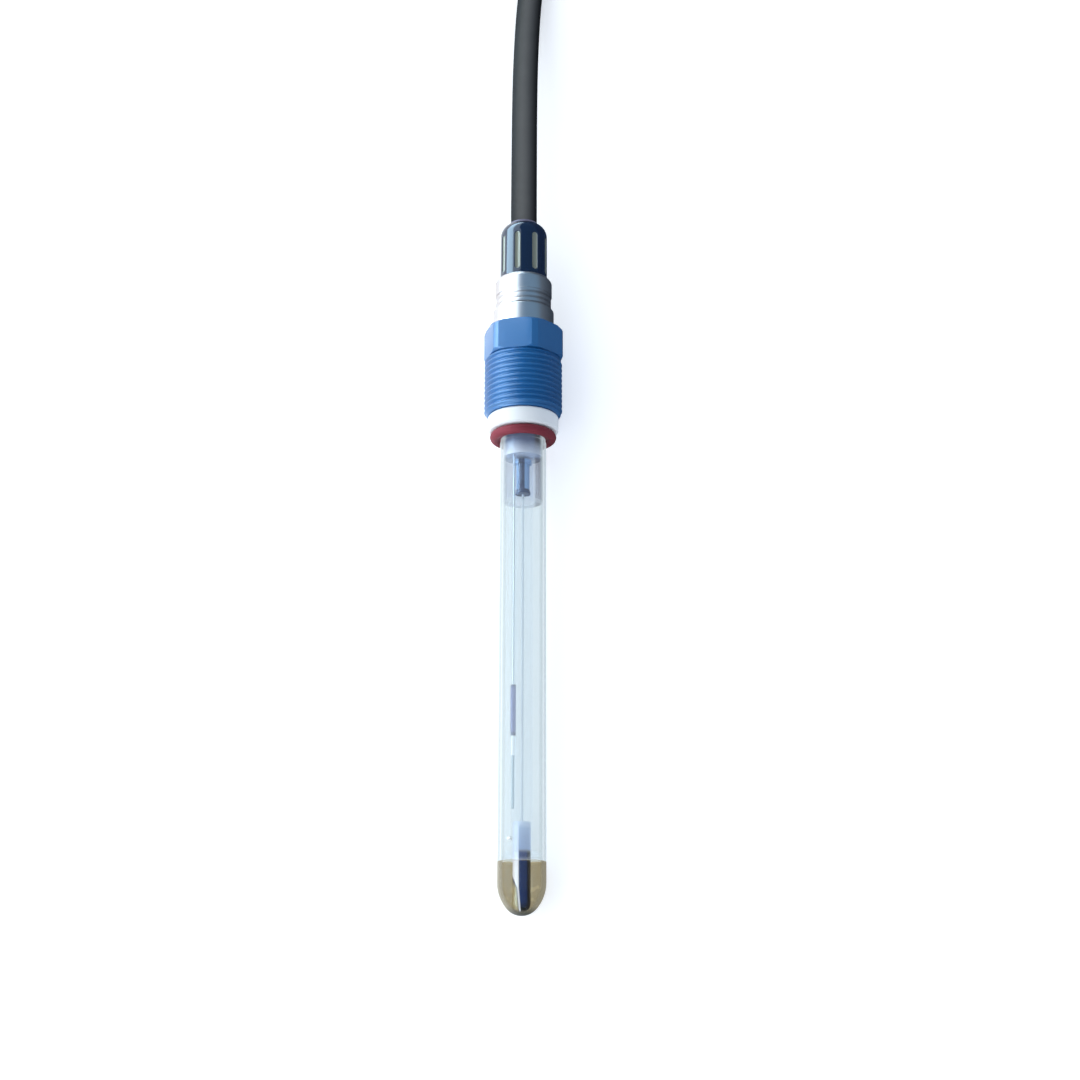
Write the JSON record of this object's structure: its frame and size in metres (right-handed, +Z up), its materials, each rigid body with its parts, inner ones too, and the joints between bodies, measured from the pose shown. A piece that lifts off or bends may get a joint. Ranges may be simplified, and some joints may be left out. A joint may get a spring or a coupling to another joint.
{
  "type": "ph electrode",
  "caption": "Combination glass pH electrode: gel-filled shaft with bulb membrane, screw-in hexagon head, screw-on fluted cable plug and a tied lead with coaxial bayonet plug.",
  "frame": {"origin": "on the floor, under the middle of the electrode with its cable plug, without the free cable", "axes": "+Z up from the floor; +Y runs along the lying electrode from the bulb to the cable; +X to the right seen from above with the cable away"},
  "size_m": [0.0647, 0.4068, 0.0215],
  "materials": {
    "shaft_glass": "clear, polished",
    "membrane_glass": "clear, polished, faintly green",
    "buffer_fill": "khaki liquid with light flecks",
    "gel_fill": "pale blue translucent gel",
    "stopper_fill": "grey translucent seal",
    "dark_element": "dark blue, smooth",
    "cartridge": "blue grey tube with a pale neck",
    "capillary": "thin grey capillary",
    "lead_metal": "drawn wire",
    "junction_ceramic": "white, porous",
    "ring_rubber": "dark red brown, satin",
    "collar_plastic": "white, matte",
    "head_plastic": "blue, moulded, semi gloss",
    "socket_steel": "turned steel",
    "nut_steel": "turned steel with thread",
    "potting": "grey resin",
    "insulator": "off white",
    "contact_metal": "gold coloured",
    "cap_plastic": "navy, glossy, moulded",
    "clamp_metal": "turned",
    "seal_rubber": "grey lilac, matte",
    "cable_jacket": "dark grey, matte",
    "tie_strap": "black strap",
    "boot_rubber": "black, matte",
    "plug_metal": "nickel plated"
  },
  "bodies": {
    "sensor": {"glass_shaft": "shaft_glass", "ph_membrane": "membrane_glass", "inner_stem": "shaft_glass", "inner_buffer": "buffer_fill", "lead_off_element": "dark_element", "lead_off_wire": "lead_metal", "stem_plug": "dark_element", "reference_gel": "gel_fill", "reference_capillary": "capillary", "reference_cartridge": "cartridge", "reference_wire": "lead_metal", "ceramic_junction": "junction_ceramic", "shaft_stopper": "stopper_fill", "o_ring": "ring_rubber", "threaded_head": "head_plastic", "head_socket": "socket_steel", "head_potting": "potting", "contact_insulator": "insulator", "contact_pin": "contact_metal", "signal_lead": "lead_metal"},
    "collar": {"thrust_collar": "collar_plastic"},
    "plug": {"plug_cap": "cap_plastic", "plug_core": "insulator", "socket_contact": "contact_metal", "cable_clamp": "clamp_metal", "cable_seal": "seal_rubber", "cable": "cable_jacket", "cable_hank": "cable_jacket", "cable_tail": "cable_jacket", "hank_ties": "tie_strap", "bnc_boot": "boot_rubber", "bnc_ferrule": "plug_metal", "bnc_body": "plug_metal", "bnc_insulator": "insulator", "bnc_pin": "contact_metal"},
    "nut": {"coupling_nut": "nut_steel"},
    "bayonet": {"bayonet_ring": "plug_metal"}
  },
  "joints": [
    {"name": "collar_turn", "type": "hinge", "parent": "sensor", "child": "collar", "pos_m": [0, 0.03381, 0.01008], "axis": [0, 0.9994, 0.0348], "continuous": true},
    {"name": "plug_slide", "type": "slide", "parent": "sensor", "child": "plug", "axis": [0, 0.9994, 0.0348], "range_m": [0, 0.0075]},
    {"name": "nut_turn", "type": "hinge", "parent": "plug", "child": "nut", "pos_m": [0, 0.06864, 0.01129], "axis": [0, 0.9994, 0.0348], "range_deg": [0, 1800]},
    {"name": "bayonet_turn", "type": "hinge", "parent": "plug", "child": "bayonet", "pos_m": [-0.0465, 0.218, 0.01428], "axis": [0, -1, 0], "continuous": true}
  ],
  "couplings": [
    {"joint": "nut_turn", "follows": "plug_slide", "rad_per_m": 4188.8}
  ]
}
